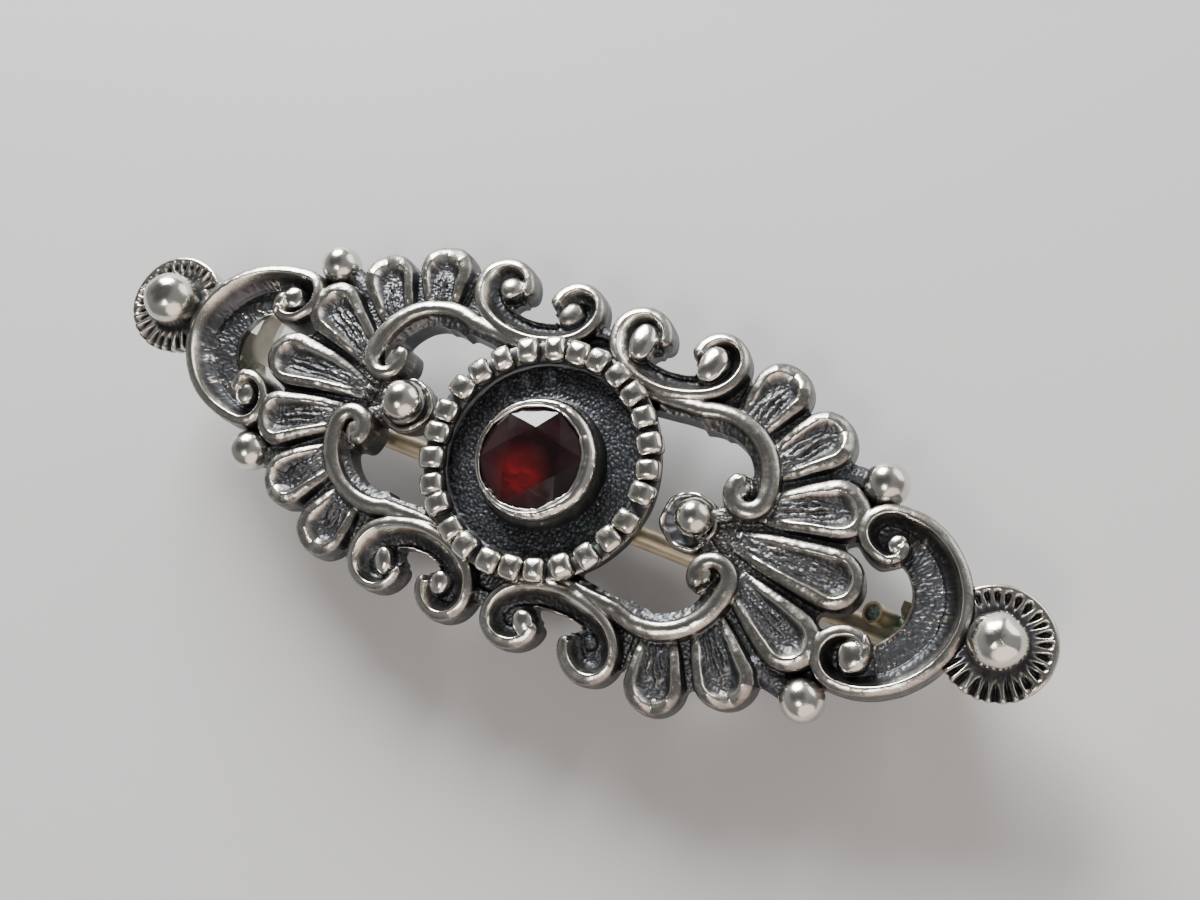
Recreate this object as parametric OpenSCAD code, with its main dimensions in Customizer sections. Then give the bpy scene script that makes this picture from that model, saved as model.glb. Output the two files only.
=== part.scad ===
// Openwork brooch with a beaded centre setting, lying on its hinge and catch.
// The long axis is X, the face looks up along +Z, and Z = 0 is what it lies on.

/* [Frame] */
// Height of the frame's flat back above the surface that the brooch lies on
back_z = 3.75; // [3.6:0.05:4.5]
// Thickness of the sunk ground at the frame's long edges
web_h = 0.55; // [0.4:0.05:0.8]
// How much thicker the frame is along its long axis than at its long edges
crown_h = 0.75; // [0:0.05:1]
// Height of the polished ridges above the ground
ridge_h = 0.75; // [0.5:0.05:0.9]
// Width of the scrolls' polished ridges
ridge_w = 0.78; // [0.6:0.02:0.86]

/* [Centre setting] */
// Outer radius of the beaded ring
ring_r = 5.95; // [5.8:0.05:6.1]
// Inner radius of the beaded ring
ring_in_r = 4.8; // [4.6:0.05:5]
// Number of beads on the ring
bead_count = 27; // [24:1:30]
// Top of the beads above the back
bead_top = 2.55; // [2.3:0.05:2.8]
// Outer radius of the bezel round the stone
bezel_r = 2.98; // [2.9:0.02:3.1]
// Top of the bezel above the back
bezel_top = 2.9; // [2.8:0.05:3.1]
// Radius of the stone at its girdle
stone_r = 2.55; // [2.5:0.01:2.58]

/* [Ends] */
// Distance from the centre to the middle of each rosette
rosette_x = 22; // [21.9:0.05:22.2]
// Radius of the fluted disc of a rosette
rosette_r = 2.5; // [2.35:0.05:2.6]
// Number of flutes on a rosette
flute_count = 26; // [20:1:36]
// Radius of the polished dome on a rosette
dome_r = 1.35; // [1.2:0.05:1.4]

/* [Pin] */
// Diameter of the pin wire
wire_d = 1.04; // [0.96:0.02:1.06]
// Distance from the centre to the hinge axis
hinge_x = 19; // [18.8:0.1:19.2]
// Height of the hinge axis above the surface
hinge_z = 1.5; // [1.5:0.05:1.6]
// Diameter of the hinge rivet
rivet_d = 0.7; // [0.6:0.02:0.74]
// How far the pin stem lies to the front of the long axis at the hinge
stem_y = -0.92; // [-1:0.02:-0.84]

/* [Hidden] */

// Half the width of the crowned frame, and how far its pieces reach below the back before they are cut level
half_w = 9.0;
sunk = 0.3;
silver = [0.78, 0.78, 0.77];
dark_silver = [0.7, 0.7, 0.69];

// Arcs of a scroll's ridge, one a row: centre x, centre y, radius, from angle, to angle
OUTER_SCROLL = [
  [-2.0, 0, 1.15, 15, 180],
  [-1.3, 0, 1.85, 180, 240],
  [0, 2.25, 4.45, 240, 300],
  [1.3, 0, 1.85, 300, 360],
  [2.0, 0, 1.15, 0, 165]
];
OUTER_AT = [3.85, 7.5];
INNER_SCROLL = [
  [7.55, 2.15, 3.2, 112, 0],
  [9.93, 2.15, 0.82, 0, -215]
];
CRESCENT = [
  [16.4, 0, 4.05, 0, 90],
  [16.4, 2.95, 1.1, 90, 270],
  [16.4, 2.42, 0.57, 270, 375]
];

// Petals of a fan: the angle between them, the root radius of each from the axis outwards, their reach and ridge
FAN_HUB = [7, 0];
fan_r = 7.65;
fan_step = 24.3;
PETAL_ROOT = [3.7, 4.7, 5.5, 5.9];
petal_w = 1.0;
petal_ridge_w = 0.64;

// Height of the middle of a rosette's dome above the back
dome_z = 2.7;

// Middle of the ball beside the ring, on the long axis
axis_ball_x = 7.87;

// Height of the stone's girdle above the back, and the turn of its table
girdle_z = 2.45;
table_turn = 48;

// Thicknesses of the bracket's ears and of the catch's sheet, and half the width of an ear
ear_t = 0.42;
ear_gap = 0.06;
sheet_t = 0.42;
ear_r = 1.15;

// The wire is wrapped round the rivet in two turns that are pressed into each other, between two ears
wrap_step = 0.52;
coil_w = wire_d + wrap_step + 0.02;
coil_y = stem_y + wrap_step / 2;
coil_bore = rivet_d / 2 + 0.05;
wrap_r = coil_bore + wire_d / 2;
ear_y = coil_w / 2 + ear_gap + ear_t / 2;

// The pin's stem and tapered point: lengths, and angles in degrees
stem_len = 31.5;
point_len = 5;
stem_yaw = 1.4;
stem_drop = 0.6;

// The pin's tail, its end cut open: length, lean from upright in degrees, bore and the bore's depth
tail_len = 2.85;
tail_lean = 31;
tail_bore = 0.8;
tail_bore_depth = 0.8;

// The catch's strip, from its lip to its two tight bends, and its foot under the frame
catch_x = -17.98;
catch_w = 1.06;
lip_y = -0.72;
bend_y = 1.45;
bend_r = 0.8;
foot_x = -19.45;
foot_w = 4.1;
foot_y = -0.82;
foot_d = 1.36;

// Steps along arcs are no longer than this many degrees
turn = 36;

// Height of the crowned ground above the back
function ground(y) = web_h + crown_h * (1 - pow(y / half_w, 2));

// Points along a table of arcs, by steps no longer than `chord`
function arc_points(row, chord) =
  let (sweep = abs(row[4] - row[3]))
  let (n = max(2, ceil(sweep / turn), ceil(sweep * PI / 180 * row[2] / chord)))
  [for (i = [0 : n - 1]) let (a = row[3] + (row[4] - row[3]) * i / n)
    [row[0] + row[2] * cos(a), row[1] + row[2] * sin(a)]];
function trace(rows, chord = 1) = concat(
  [for (row = rows) each arc_points(row, chord)],
  [let (last = rows[len(rows) - 1])
    [last[0] + last[2] * cos(last[4]), last[1] + last[2] * sin(last[4])]]);
function moved(path, by) = [for (p = path) p + by];

// Direction of a path at point i
function heading(path, i) =
  let (d = path[min(i + 1, len(path) - 1)] - path[max(i - 1, 0)]) d / norm(d);

// Sections of a ridge: across it, from one foot over the top to the other foot
WALL_SECTION = [[-1, 0], [-0.94, 0.68], [0, 1], [0.94, 0.68], [1, 0]];
RAY_SECTION = [[-1, 0], [0, 1], [1, 0]];
function ridge_ring(section, p, d, half, low, top) =
  [for (s = section) [p[0] - d[1] * s[0] * half, p[1] + d[0] * s[0] * half, low + (top - low) * s[1]]];

// A raised ridge along a path, from `low` above the back up to its own height over the ground.
// Its ends taper, and `lift` raises its top with the distance out along X.
module ridge(path, width = ridge_w, height = ridge_h, low = -sunk, lift = 0, section = WALL_SECTION) {
  n = len(path);
  k = len(section);
  taper = 0.75;
  rings = [for (i = [0 : n - 1])
    let (p = path[i])
    let (end = (i == 0 || i == n - 1) ? taper : 1)
    ridge_ring(section, p, heading(path, i), width / 2 * end, low,
               ground(p[1]) + height * end + lift * max(0, p[0] - CRESCENT[0][0]))];
  sides = [for (i = [0 : n - 2], j = [0 : k - 1])
    [i * k + j, i * k + (j + 1) % k, (i + 1) * k + (j + 1) % k, (i + 1) * k + j]];
  caps = [[for (j = [k - 1 : -1 : 0]) j], [for (j = [0 : k - 1]) (n - 1) * k + j]];
  polyhedron([for (r = rings) each r], concat(sides, caps), convexity = 6);
}

// A flat band along a path, `left` and `right` being its reach to either side of it
module band(path, left, right) {
  side = function (by) [for (i = [0 : len(path) - 1])
    let (d = heading(path, i)) path[i] + by * [-d[1], d[0]]];
  right_side = side(-right);
  polygon(concat(side(left), [for (i = [len(path) - 1 : -1 : 0]) right_side[i]]));
}

module quarters() {
  for (sx = [1, -1], sy = [1, -1])
    scale([sx, sy, 1]) children();
}

module halves() {
  for (sx = [1, -1])
    scale([sx, 1, 1]) children();
}

// Ground of one quarter: scrolls, shoulder to the ring, and the corner ball's pad.
// Where a ridge runs along the outline, the ground ends under the ridge.
module quarter_ground() {
  translate(OUTER_AT) {
    band(trace([OUTER_SCROLL[1], OUTER_SCROLL[2], OUTER_SCROLL[3]]), 1.0, 0);
    for (s = [-1, 1])
      translate([2 * s, 0]) circle(r = 1.15, $fn = 16);
  }
  band(trace([INNER_SCROLL[0]]), 0, 0.82);
  translate([9.9, 2.12]) circle(r = 0.9, $fn = 12);
  band([[2.3, 5.1], [3.5, 4.75], [5.6, 5.0], [8.2, 5.2]], 0.9, 0.5);
  band([[8.4, 5.2], [7.3, 6.2], [7.1, 7.4]], 1, 0.4);
  band([[13.4, 4.7], [15.4, 5.2]], 0.5, 0.6);
  band([[13.6, 3.7], [15.8, 3.4]], 1.3, 0.9);
}

// Ground of one fan, with the notches between its petals
module fan_ground() {
  translate(FAN_HUB) {
    difference() {
      circle(r = 7.85, $fn = 28);
      translate([-9.6, -10]) square([10.4, 20]);
      for (s = [-1, 1])
        translate([0.55, 2.15 * s]) circle(r = 2.9, $fn = 12);
    }
    for (i = [-3 : 3])
      rotate(fan_step * i) translate([fan_r, 0]) circle(r = petal_w, $fn = 8);
  }
  translate([8.4, -1.15]) square([2.6, 2.3]);
}

module crescent_ground() {
  difference() {
    translate([CRESCENT[0][0], 0]) circle(r = CRESCENT[0][2], $fn = 24);
    translate([8, -6]) square([8.4, 12]);
    translate([15.9, 0]) scale([1, 0.92]) circle(r = 2.4, $fn = 24);
  }
  for (s = [-1, 1])
    translate([CRESCENT[1][0], CRESCENT[1][1] * s]) circle(r = CRESCENT[1][2], $fn = 12);
}

module ground_outline() {
  circle(r = ring_r - 0.4, $fn = bead_count - 1);
  for (s = [1, -1])
    polygon([[-1.9, 5 * s], [1.9, 5 * s], [0.5, 7.2 * s], [-0.5, 7.2 * s]]);
  quarters() quarter_ground();
  halves() {
    fan_ground();
    crescent_ground();
    translate([axis_ball_x, 0]) circle(r = 1.1, $fn = 12);
  }
}

// The crowned ground of the whole frame
module ground_plate() {
  slices = 4;
  crown = [for (i = [0 : slices]) let (y = -half_w - 0.6 + 2 * (half_w + 0.6) * i / slices) [y, ground(y)]];
  intersection() {
    translate([0, 0, -sunk]) linear_extrude(height = 3, convexity = 8) ground_outline();
    translate([-25, 0, 0]) rotate([90, 0, 90])
      linear_extrude(height = 50) polygon(concat([[half_w + 0.6, -1], [-half_w - 0.6, -1]], crown));
  }
}

// A polished ball, its middle at height z above the back
module ball(at, r, z, sides) {
  translate([at[0], at[1], z]) sphere(r = r, $fn = sides);
}

// The button-like end of a curl
module eye(at, r) {
  top = ground(at[1]) + 0.85 * ridge_h;
  translate([at[0], at[1], 0]) rotate_extrude($fn = 9)
    polygon([[0, 0.3], [r, 0.3], [0.9 * r, top - 0.25], [0.45 * r, top], [0, top]]);
}

// Both scrolls of one quarter, with the ball-like eye inside each curl
module quarter_scrolls() {
  ridge(moved(trace(OUTER_SCROLL), OUTER_AT));
  ridge(moved(trace([[0, 2.25, 3.5, 248, 292]]), OUTER_AT), width = 0.26, height = 0.4,
        section = RAY_SECTION);
  ridge(trace(INNER_SCROLL));
  for (s = [-1, 1])
    eye(OUTER_AT + [1.55 * s, -0.15], 0.64);
  eye([9.66, 2.2], 0.5);
  eye([16.6, 2.7], 0.58);
  ball([15.36, 5.27], 1.05, 1.06, 12);
}

// A path turned about the fan's hub
function fanned(path, a) =
  [for (p = path) FAN_HUB + [p[0] * cos(a) - p[1] * sin(a), p[0] * sin(a) + p[1] * cos(a)]];

// A petal is a raised loop, open towards the fan's hub, with a fine ray inside
module petal(i) {
  root = PETAL_ROOT[abs(i)];
  a = fan_step * i;
  loop = concat([[root, -0.62]], arc_points([fan_r, 0, petal_w, -100, 100], 1),
                [[fan_r + petal_w * cos(100), petal_w * sin(100)], [root, 0.62]]);
  ridge(fanned(loop, a), width = petal_ridge_w);
  ridge(fanned([[root + 0.2, 0], [fan_r + 0.35, 0]], a), width = 0.6, height = 0.42, low = 0.4,
        section = RAY_SECTION);
}

// Crescent ridge from one curled tip round to the other
module crescent_ridge() {
  upper = trace(CRESCENT);
  lower = [for (i = [len(upper) - 1 : -1 : 1]) [upper[i][0], -upper[i][1]]];
  ridge(concat(lower, upper), lift = 0.07);
}

// A fluted disc: the top rises and falls from flute to flute, and a smooth rim runs round it
module fluted_disc() {
  n = 2 * flute_count;
  low = 1.1;
  // Rows of the disc from its underside's middle out and over: radius, height, depth of the flutes
  PROFILE = [[rosette_r - 0.1, low, 0], [rosette_r, 2.05, 0], [rosette_r - 0.25, 2.2, 0.16],
             [dome_r - 0.1, 2.05, 0]];
  m = len(PROFILE);
  points = [for (row = PROFILE, i = [0 : n - 1])
    let (a = 360 * i / n) [row[0] * cos(a), row[0] * sin(a), row[1] - (i % 2) * row[2]]];
  sides = [for (j = [0 : m - 2], i = [0 : n - 1])
    [j * n + i, (j + 1) * n + i, (j + 1) * n + (i + 1) % n, j * n + (i + 1) % n]];
  caps = [[for (i = [0 : n - 1]) i], [for (i = [n - 1 : -1 : 0]) (m - 1) * n + i]];
  polyhedron(points, concat(caps, sides), convexity = 4);
}

// A rosette: fluted disc and polished dome, let into the crescent's outer edge
module rosette() {
  translate([rosette_x, 0, 0]) {
    fluted_disc();
    translate([0, 0, dome_z]) sphere(r = dome_r, $fn = 14);
  }
}

// The ball beside the ring, on its collar, with webs to the inner scrolls' curls
module axis_ball() {
  translate([axis_ball_x, 0, 0]) {
    translate([0, 0, -sunk]) cylinder(r1 = 1.45, r2 = 1.25, h = sunk + 1.75, $fn = 12);
    translate([0, 0, 1.95]) sphere(r = 1, $fn = 12);
  }
  for (s = [-1, 1])
    ridge([[8.7, 0.5 * s], [9.5, 1.1 * s]], width = 0.8, height = 0.35);
}

// One pillow-shaped bead of the ring
module ring_bead() {
  low = bead_top - 0.75;
  translate([(ring_r + ring_in_r) / 2, 0, 0])
    hull() {
      translate([-0.53, -0.46, low]) cube([1.06, 0.92, 0.5]);
      translate([-0.32, -0.26, bead_top - 0.02]) cube([0.64, 0.52, 0.02]);
    }
}

// The beaded ring's wall, its beads and the bezel on the sunk floor
module centre_setting() {
  difference() {
    translate([0, 0, -sunk]) cylinder(r = ring_r - 0.08, h = sunk + bead_top - 0.5, $fn = bead_count);
    translate([0, 0, ground(0)]) cylinder(r = ring_in_r, h = 3, $fn = bead_count);
  }
  for (i = [0 : bead_count - 1])
    rotate(360 * i / bead_count) ring_bead();
  translate([0, 0, sunk]) cylinder(r1 = bezel_r + 0.14, r2 = bezel_r, h = bezel_top - sunk, $fn = 32);
}

// Space for the stone: a cone under it, a wall beside its girdle and the bezel's lip above
module stone_seat() {
  rotate_extrude($fn = 32)
    polygon([[0, 0.3], [0.35, 0.3], [stone_r + 0.06, girdle_z - 0.2], [stone_r + 0.06, girdle_z + 0.16],
             [stone_r - 0.06, girdle_z + 0.24], [stone_r - 0.06, bezel_top + 1], [0, bezel_top + 1]]);
}

module frame() {
  color(silver) translate([0, 0, back_z]) difference() {
    union() {
      ground_plate();
      quarters() quarter_scrolls();
      halves() {
        for (i = [-3 : 3]) petal(i);
        crescent_ridge();
        rosette();
        axis_ball();
      }
      centre_setting();
    }
    stone_seat();
    translate([-30, -15, -1]) cube([60, 30, 1]);
  }
}

// The stone: a six-sided table, a ring of triangles, a girdle and a pointed pavilion
module garnet() {
  table_r = 1.5;
  table_z = 3.05;
  culet_z = 0.5;
  function rim(r, z, n) =
    [for (i = [0 : n - 1]) let (a = table_turn + 360 * i / n) [r * cos(a), r * sin(a), z]];
  points = concat(rim(table_r, table_z, 6), rim(stone_r, girdle_z + 0.06, 12),
                  rim(stone_r, girdle_z - 0.06, 12), [[0, 0, culet_z]]);
  table_face = [[for (i = [5 : -1 : 0]) i]];
  crown_faces = [for (i = [0 : 5])
    let (t = i, u = (i + 1) % 6, g = 6 + 2 * i, h = 6 + 2 * i + 1, k = 6 + (2 * i + 2) % 12)
    each [[t, u, h], [t, h, g], [u, k, h]]];
  girdle_faces = [for (i = [0 : 11])
    [6 + i, 6 + (i + 1) % 12, 18 + (i + 1) % 12, 18 + i]];
  pavilion_faces = [for (i = [0 : 11]) [18 + i, 18 + (i + 1) % 12, 30]];
  color([0.35, 0.02, 0.03, 0.9]) translate([0, 0, back_z])
    polyhedron(points, concat(table_face, crown_faces, girdle_faces, pavilion_faces));
}

// One ear of the hinge, with the rivet's bore
module ear(y) {
  difference() {
    translate([hinge_x, y + ear_t / 2, hinge_z]) rotate([90, 0, 0])
      linear_extrude(height = ear_t)
        hull() {
          translate([0, ear_r - hinge_z]) circle(r = ear_r, $fn = 48);
          translate([-ear_r, back_z - hinge_z - sheet_t]) square([2 * ear_r, sheet_t]);
        }
    translate([hinge_x, y + ear_t, hinge_z]) rotate([90, 0, 0])
      cylinder(d = rivet_d, h = 2 * ear_t, $fn = 32);
  }
}

// Two ears on a plate that is soldered to the frame's back
module hinge_bracket() {
  color(dark_silver) union() {
    translate([hinge_x - 0.75, coil_y - ear_y - ear_t / 2, back_z - sheet_t])
      cube([0.75 + ear_r, 2 * ear_y + ear_t, sheet_t]);
    for (s = [-1, 1]) ear(coil_y + s * ear_y);
  }
}

// Rivet with a flat head outside each ear
module hinge_rivet() {
  head = 0.22;
  color(dark_silver) translate([hinge_x, coil_y, hinge_z]) rotate([90, 0, 0]) {
    translate([0, 0, -ear_y - ear_t / 2 - head]) cylinder(d = rivet_d, h = 2 * (ear_y + ear_t / 2 + head), $fn = 32);
    for (s = [-1, 1])
      translate([0, 0, s * (ear_y + ear_t / 2 + head / 2) - head / 2]) cylinder(r = 0.6, h = head, $fn = 32);
  }
}

// Two turns of wire round the rivet
module wire_coil() {
  rotate([90, 0, 0]) rotate_extrude($fn = 48)
    difference() {
      union() {
        for (s = [-1, 1])
          translate([wrap_r + 0.02, s * wrap_step / 2]) circle(d = wire_d + 0.02, $fn = 24);
        translate([coil_bore, -wrap_step / 2]) square([wire_d / 2, wrap_step]);
      }
      square([coil_bore, 2], center = true);
    }
}

// The tail stands up from the coil; its end is bored
module tail() {
  translate([-wrap_r * cos(tail_lean), wrap_step / 2, -wrap_r * sin(tail_lean)]) rotate([0, -tail_lean, 0])
    difference() {
      cylinder(d = wire_d, h = tail_len, $fn = 32);
      translate([0, 0, tail_len - tail_bore_depth]) cylinder(d = tail_bore, h = 2 * tail_bore_depth, $fn = 32);
    }
}

// Pin: coil, stem with its tapered point, and tail, one wire
module pin_stem() {
  color([0.55, 0.48, 0.36]) translate([hinge_x, coil_y, hinge_z]) {
    wire_coil();
    translate([0, -wrap_step / 2, wrap_r]) rotate([0, -90 - stem_drop, stem_yaw]) {
      cylinder(d = wire_d, h = stem_len, $fn = 32);
      translate([0, 0, stem_len]) cylinder(d1 = wire_d, d2 = 0.12, h = point_len, $fn = 32);
    }
    tail();
  }
}

// Outline of the catch's side, or of the room in it where inset is the sheet's thickness
module catch_outline(start, inset) {
  outer = back_z / 2;
  hull() {
    for (s = [-1, 1])
      translate([bend_y, s * (outer - bend_r)]) circle(r = bend_r - inset, $fn = 48);
    translate([start, inset - outer]) square([0.5, 2 * (outer - inset)]);
  }
}

// Catch: a strip bent into a C, open to the front, with a wide foot under the frame
module catch() {
  color(dark_silver) union() {
    translate([foot_x, foot_y, back_z - sheet_t]) cube([foot_w, foot_d, sheet_t]);
    translate([catch_x - catch_w / 2, 0, back_z / 2]) rotate([90, 0, 90])
      linear_extrude(height = catch_w) difference() {
        catch_outline(lip_y, 0);
        catch_outline(lip_y - 1, sheet_t);
      }
  }
}

frame();
garnet();
hinge_bracket();
hinge_rivet();
pin_stem();
catch();
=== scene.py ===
import math

import bpy
import numpy as np
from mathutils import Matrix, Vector
from mathutils.geometry import delaunay_2d_cdt


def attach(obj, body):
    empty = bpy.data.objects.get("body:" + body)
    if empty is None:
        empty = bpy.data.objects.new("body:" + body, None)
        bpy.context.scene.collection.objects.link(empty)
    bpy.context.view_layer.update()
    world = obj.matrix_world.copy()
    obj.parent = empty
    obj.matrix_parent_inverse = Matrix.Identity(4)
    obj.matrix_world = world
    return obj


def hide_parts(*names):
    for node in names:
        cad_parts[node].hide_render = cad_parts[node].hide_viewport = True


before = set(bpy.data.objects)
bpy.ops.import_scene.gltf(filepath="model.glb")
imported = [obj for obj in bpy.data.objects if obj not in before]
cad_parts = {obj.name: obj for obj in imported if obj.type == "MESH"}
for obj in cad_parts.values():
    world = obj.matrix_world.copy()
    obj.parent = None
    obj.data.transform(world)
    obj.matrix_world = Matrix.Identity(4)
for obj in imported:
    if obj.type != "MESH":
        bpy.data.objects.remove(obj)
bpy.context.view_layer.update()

# All sizes below are millimetres, in the frame of the CAD model: X along the brooch, Z up out of its face.
MM = 0.001
BACK = 3.75
PITCH = 0.05


# Curves and outlines
def arc(x, y, radius, start, end):
    """Points along an arc, its angles in degrees."""
    steps = max(3, int(abs(math.radians(end - start)) * radius / 0.12))
    turn = np.radians(np.linspace(start, end, steps + 1))
    return np.stack([x + radius * np.cos(turn), y + radius * np.sin(turn)], 1)


def joined(*runs):
    """One path through several, with no point twice."""
    path = np.concatenate([np.asarray(r, float) for r in runs])
    keep = np.concatenate([[True], np.linalg.norm(np.diff(path, axis=0), axis=1) > 1e-6])
    return path[keep]


def eased(points, passes=3):
    """A soft curve past a few given points, ending at the first and the last."""
    path = np.asarray(points, float)
    for _ in range(passes):
        near, far = path[:-1], path[1:]
        cut = np.stack([0.75 * near + 0.25 * far, 0.25 * near + 0.75 * far], 1).reshape(-1, 2)
        path = np.concatenate([path[:1], cut[1:-1], path[-1:]])
    return path


def along(path, x, y):
    """For each point: distance to the path, how far along it from 0 to 1, and its side, 1 being left."""
    start, step = path[:-1], np.diff(path, axis=0)
    length = np.linalg.norm(step, axis=1)
    gone = np.concatenate([[0], np.cumsum(length)])
    best = np.full(x.shape, 1e9)
    place, side = np.zeros(x.shape), np.ones(x.shape)
    for i in range(len(start)):
        rx, ry = x - start[i, 0], y - start[i, 1]
        t = np.clip((rx * step[i, 0] + ry * step[i, 1]) / length[i] ** 2, 0, 1)
        away = (rx - t * step[i, 0]) ** 2 + (ry - t * step[i, 1]) ** 2
        nearer = away < best
        best[nearer] = away[nearer]
        place[nearer] = (gone[i] + t * length[i])[nearer]
        side[nearer] = np.where(step[i, 0] * ry - step[i, 1] * rx >= 0, 1, -1)[nearer]
    return np.sqrt(best), place / gone[-1], side


def inside_of(corners, x, y):
    """Distance inside a closed outline, below zero outside it."""
    ring = np.concatenate([corners, corners[:1]])
    far, _, _ = along(ring, x, y)
    hit = np.zeros(x.shape, bool)
    for (x1, y1), (x2, y2) in zip(ring[:-1], ring[1:]):
        if y1 != y2:
            hit ^= ((y1 > y) != (y2 > y)) & (x < (x2 - x1) * (y - y1) / (y2 - y1) + x1)
    return np.where(hit, far, -far)


def ribbon(path, left, right):
    """Outline of a flat band along a path."""
    path = np.asarray(path, float)
    way = np.gradient(path, axis=0)
    way /= np.linalg.norm(way, axis=1, keepdims=True)
    across = np.stack([-way[:, 1], way[:, 0]], 1)
    return np.concatenate([path + across * left, (path - across * right)[::-1]])


# Grain of the casting
def swell(x, y, size, seed):
    """Slow bumps about `size` mm across, from -1 to 1."""
    table = np.random.default_rng(seed).uniform(-1, 1, (256, 256))
    u, v = x / size + 64, y / size + 64
    i, j = np.floor(u).astype(int), np.floor(v).astype(int)
    fu, fv = u - i, v - j
    fu, fv = fu * fu * (3 - 2 * fu), fv * fv * (3 - 2 * fv)
    a, b = table[i % 256, j % 256], table[(i + 1) % 256, j % 256]
    c, d = table[i % 256, (j + 1) % 256], table[(i + 1) % 256, (j + 1) % 256]
    return (a * (1 - fu) + b * fu) * (1 - fv) + (c * (1 - fu) + d * fu) * fv


def pebbles(x, y, size, seed):
    """Rounded grains about `size` mm across: 1 at their middles, 0 in the pits between them."""
    spots = np.random.default_rng(seed).uniform(0.1, 0.9, (256, 256, 2))
    u, v = x / size + 64, y / size + 64
    i, j = np.floor(u).astype(int), np.floor(v).astype(int)
    nearest = np.full(x.shape, 9.0)
    for di in (-1, 0, 1):
        for dj in (-1, 0, 1):
            spot = spots[(i + di) % 256, (j + dj) % 256]
            nearest = np.minimum(nearest, np.hypot(i + di + spot[..., 0] - u, j + dj + spot[..., 1] - v))
    return np.clip(1 - nearest, 0, 1)


def smooth_step(low, high, value):
    t = np.clip((value - low) / (high - low), 0, 1)
    return t * t * (3 - 2 * t)


def rounded(reach):
    """How far a round back has dropped, from 0 on its crest to almost 1 at its foot, where `reach` is 1."""
    return 1 - np.sqrt(np.clip(1 - (0.96 * reach) ** 2, 0, 1))


def higher(a, b, soft):
    """The higher of two heights, with a fillet where they cross."""
    close = np.clip(1 - np.abs(a - b) / soft, 0, 1)
    return np.maximum(a, b) + soft * close * close / 4


# Relief of the openwork
def ground(y):
    """Height of the sunk ground above the back: thickest along the brooch's long axis."""
    return 0.55 + 0.75 * (1 - (y / 9) ** 2)


# Small places where the hand-made brooch is off its own pattern: x, y, shift in x, shift in y, reach
OFF_PATTERN = [
    (-22, 0, -0.3, 0.2, 1.6),
    (22, 0, 0.1, 0.15, 1.6),
    (-15.4, 5.3, 0.34, 0.21, 1.4),
    (15.4, 5.3, -0.05, -0.28, 1.3),
    (-15.4, -5.3, 0.45, 0, 1.4),
    (15.4, -5.3, 0.18, 0, 1.2),
    (-7.9, 0, 0.05, 0, 1.2),
    (7.9, 0, -0.1, 0.02, 1.2),
    (5.3, 7.65, 0.3, 0.22, 1.0),
    (-5.4, -7.65, 0.22, -0.2, 1.0),
    (5.6, -7.8, 0.14, 0.42, 1.0),
    (-2.4, 7.55, 0.22, 0.1, 0.9),
    (2.0, -8.0, -0.1, 0.3, 0.9),
    (-16.7, 2.7, 0.22, 0, 1.0),
    (16.6, -2.5, 0.3, -0.05, 1.0),
    (-16.6, -2.65, 0.18, 0.08, 1.0),
    (16.7, 2.6, 0.1, -0.15, 0.9),
    (-9.6, 1.9, 0.1, -0.5, 1.1),
    (9.5, -2.2, 0, 0.2, 1.0),
    (-9.25, 7.3, 0, -0.38, 1.0),
    (-9.25, -7.3, 0.33, 0.1, 1.0),
    (9.25, -7.3, 0.12, -0.2, 0.9),
    (-12.06, 5.74, 0.36, -0.15, 1.0),
    (12.06, 5.74, 0, 0.18, 1.0),
    (12.06, -5.74, 0, -0.26, 0.9),
    (-13.97, 3.15, 0.22, -0.08, 1.0),
    (13.97, 3.15, -0.1, -0.2, 0.9),
    (-14.65, 0, 0, -0.25, 1.0),
    (14.65, 0, 0.32, 0.08, 1.0),
]


def hand_made(x, y):
    """Moves a point of the pattern to where it lies on the brooch."""
    dx, dy = np.zeros(np.shape(x)), np.zeros(np.shape(x))
    for px, py, sx, sy, reach in OFF_PATTERN:
        weight = np.exp(-((x - px) ** 2 + (y - py) ** 2) / (2 * reach**2))
        dx, dy = dx + sx * weight, dy + sy * weight
    return x + dx, y + dy


# Middles of the outer and inner scroll, the balls, the rosette and the crescent in the right far quarter
OUTER_X, OUTER_Y = 3.85, 7.5
INNER_X, INNER_Y, INNER_R = 7.55, 2.15, 3.2
AXIS_BALL_X, ROSETTE_X = 7.87, 22.0
CORNER_X, CORNER_Y = 15.36, 5.27
CRESCENT_X, CRESCENT_R = 16.4, 4.05

# Crests of the ridges, in the same quarter
OUTER_BOWL = joined(
    arc(OUTER_X - 1.3, OUTER_Y, 1.85, 180, 240),
    arc(OUTER_X, OUTER_Y + 2.25, 4.45, 240, 300),
    arc(OUTER_X + 1.3, OUTER_Y, 1.85, 300, 360),
)
OUTER_SCROLL = joined(
    arc(OUTER_X - 2, OUTER_Y, 1.15, 5, 180),
    OUTER_BOWL,
    arc(OUTER_X + 2, OUTER_Y, 1.15, 0, 175),
)
INNER_LIP = arc(OUTER_X, OUTER_Y + 2.25, 3.42, 250, 290)
SHOULDER = eased([(2.1, 5.35), (3.2, 4.98), (4.6, 4.98), (6.35, 5.12)], 2)
INNER_ARC = arc(INNER_X, INNER_Y, INNER_R, 112, 0)
INNER_SCROLL = joined(SHOULDER, INNER_ARC, arc(INNER_X + 2.38, INNER_Y, 0.82, 0, -205))
CRESCENT_UP = joined(
    arc(CRESCENT_X, 0, CRESCENT_R, 0, 90),
    arc(CRESCENT_X, 2.95, 1.1, 90, 270),
    arc(CRESCENT_X, 2.42, 0.57, 270, 375),
)
CRESCENT = joined((CRESCENT_UP * [1, -1])[::-1], CRESCENT_UP)

# How far the grid of the openwork reaches from the middle of the brooch
GRID_X, GRID_Y = 21.3, 9.5

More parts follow.
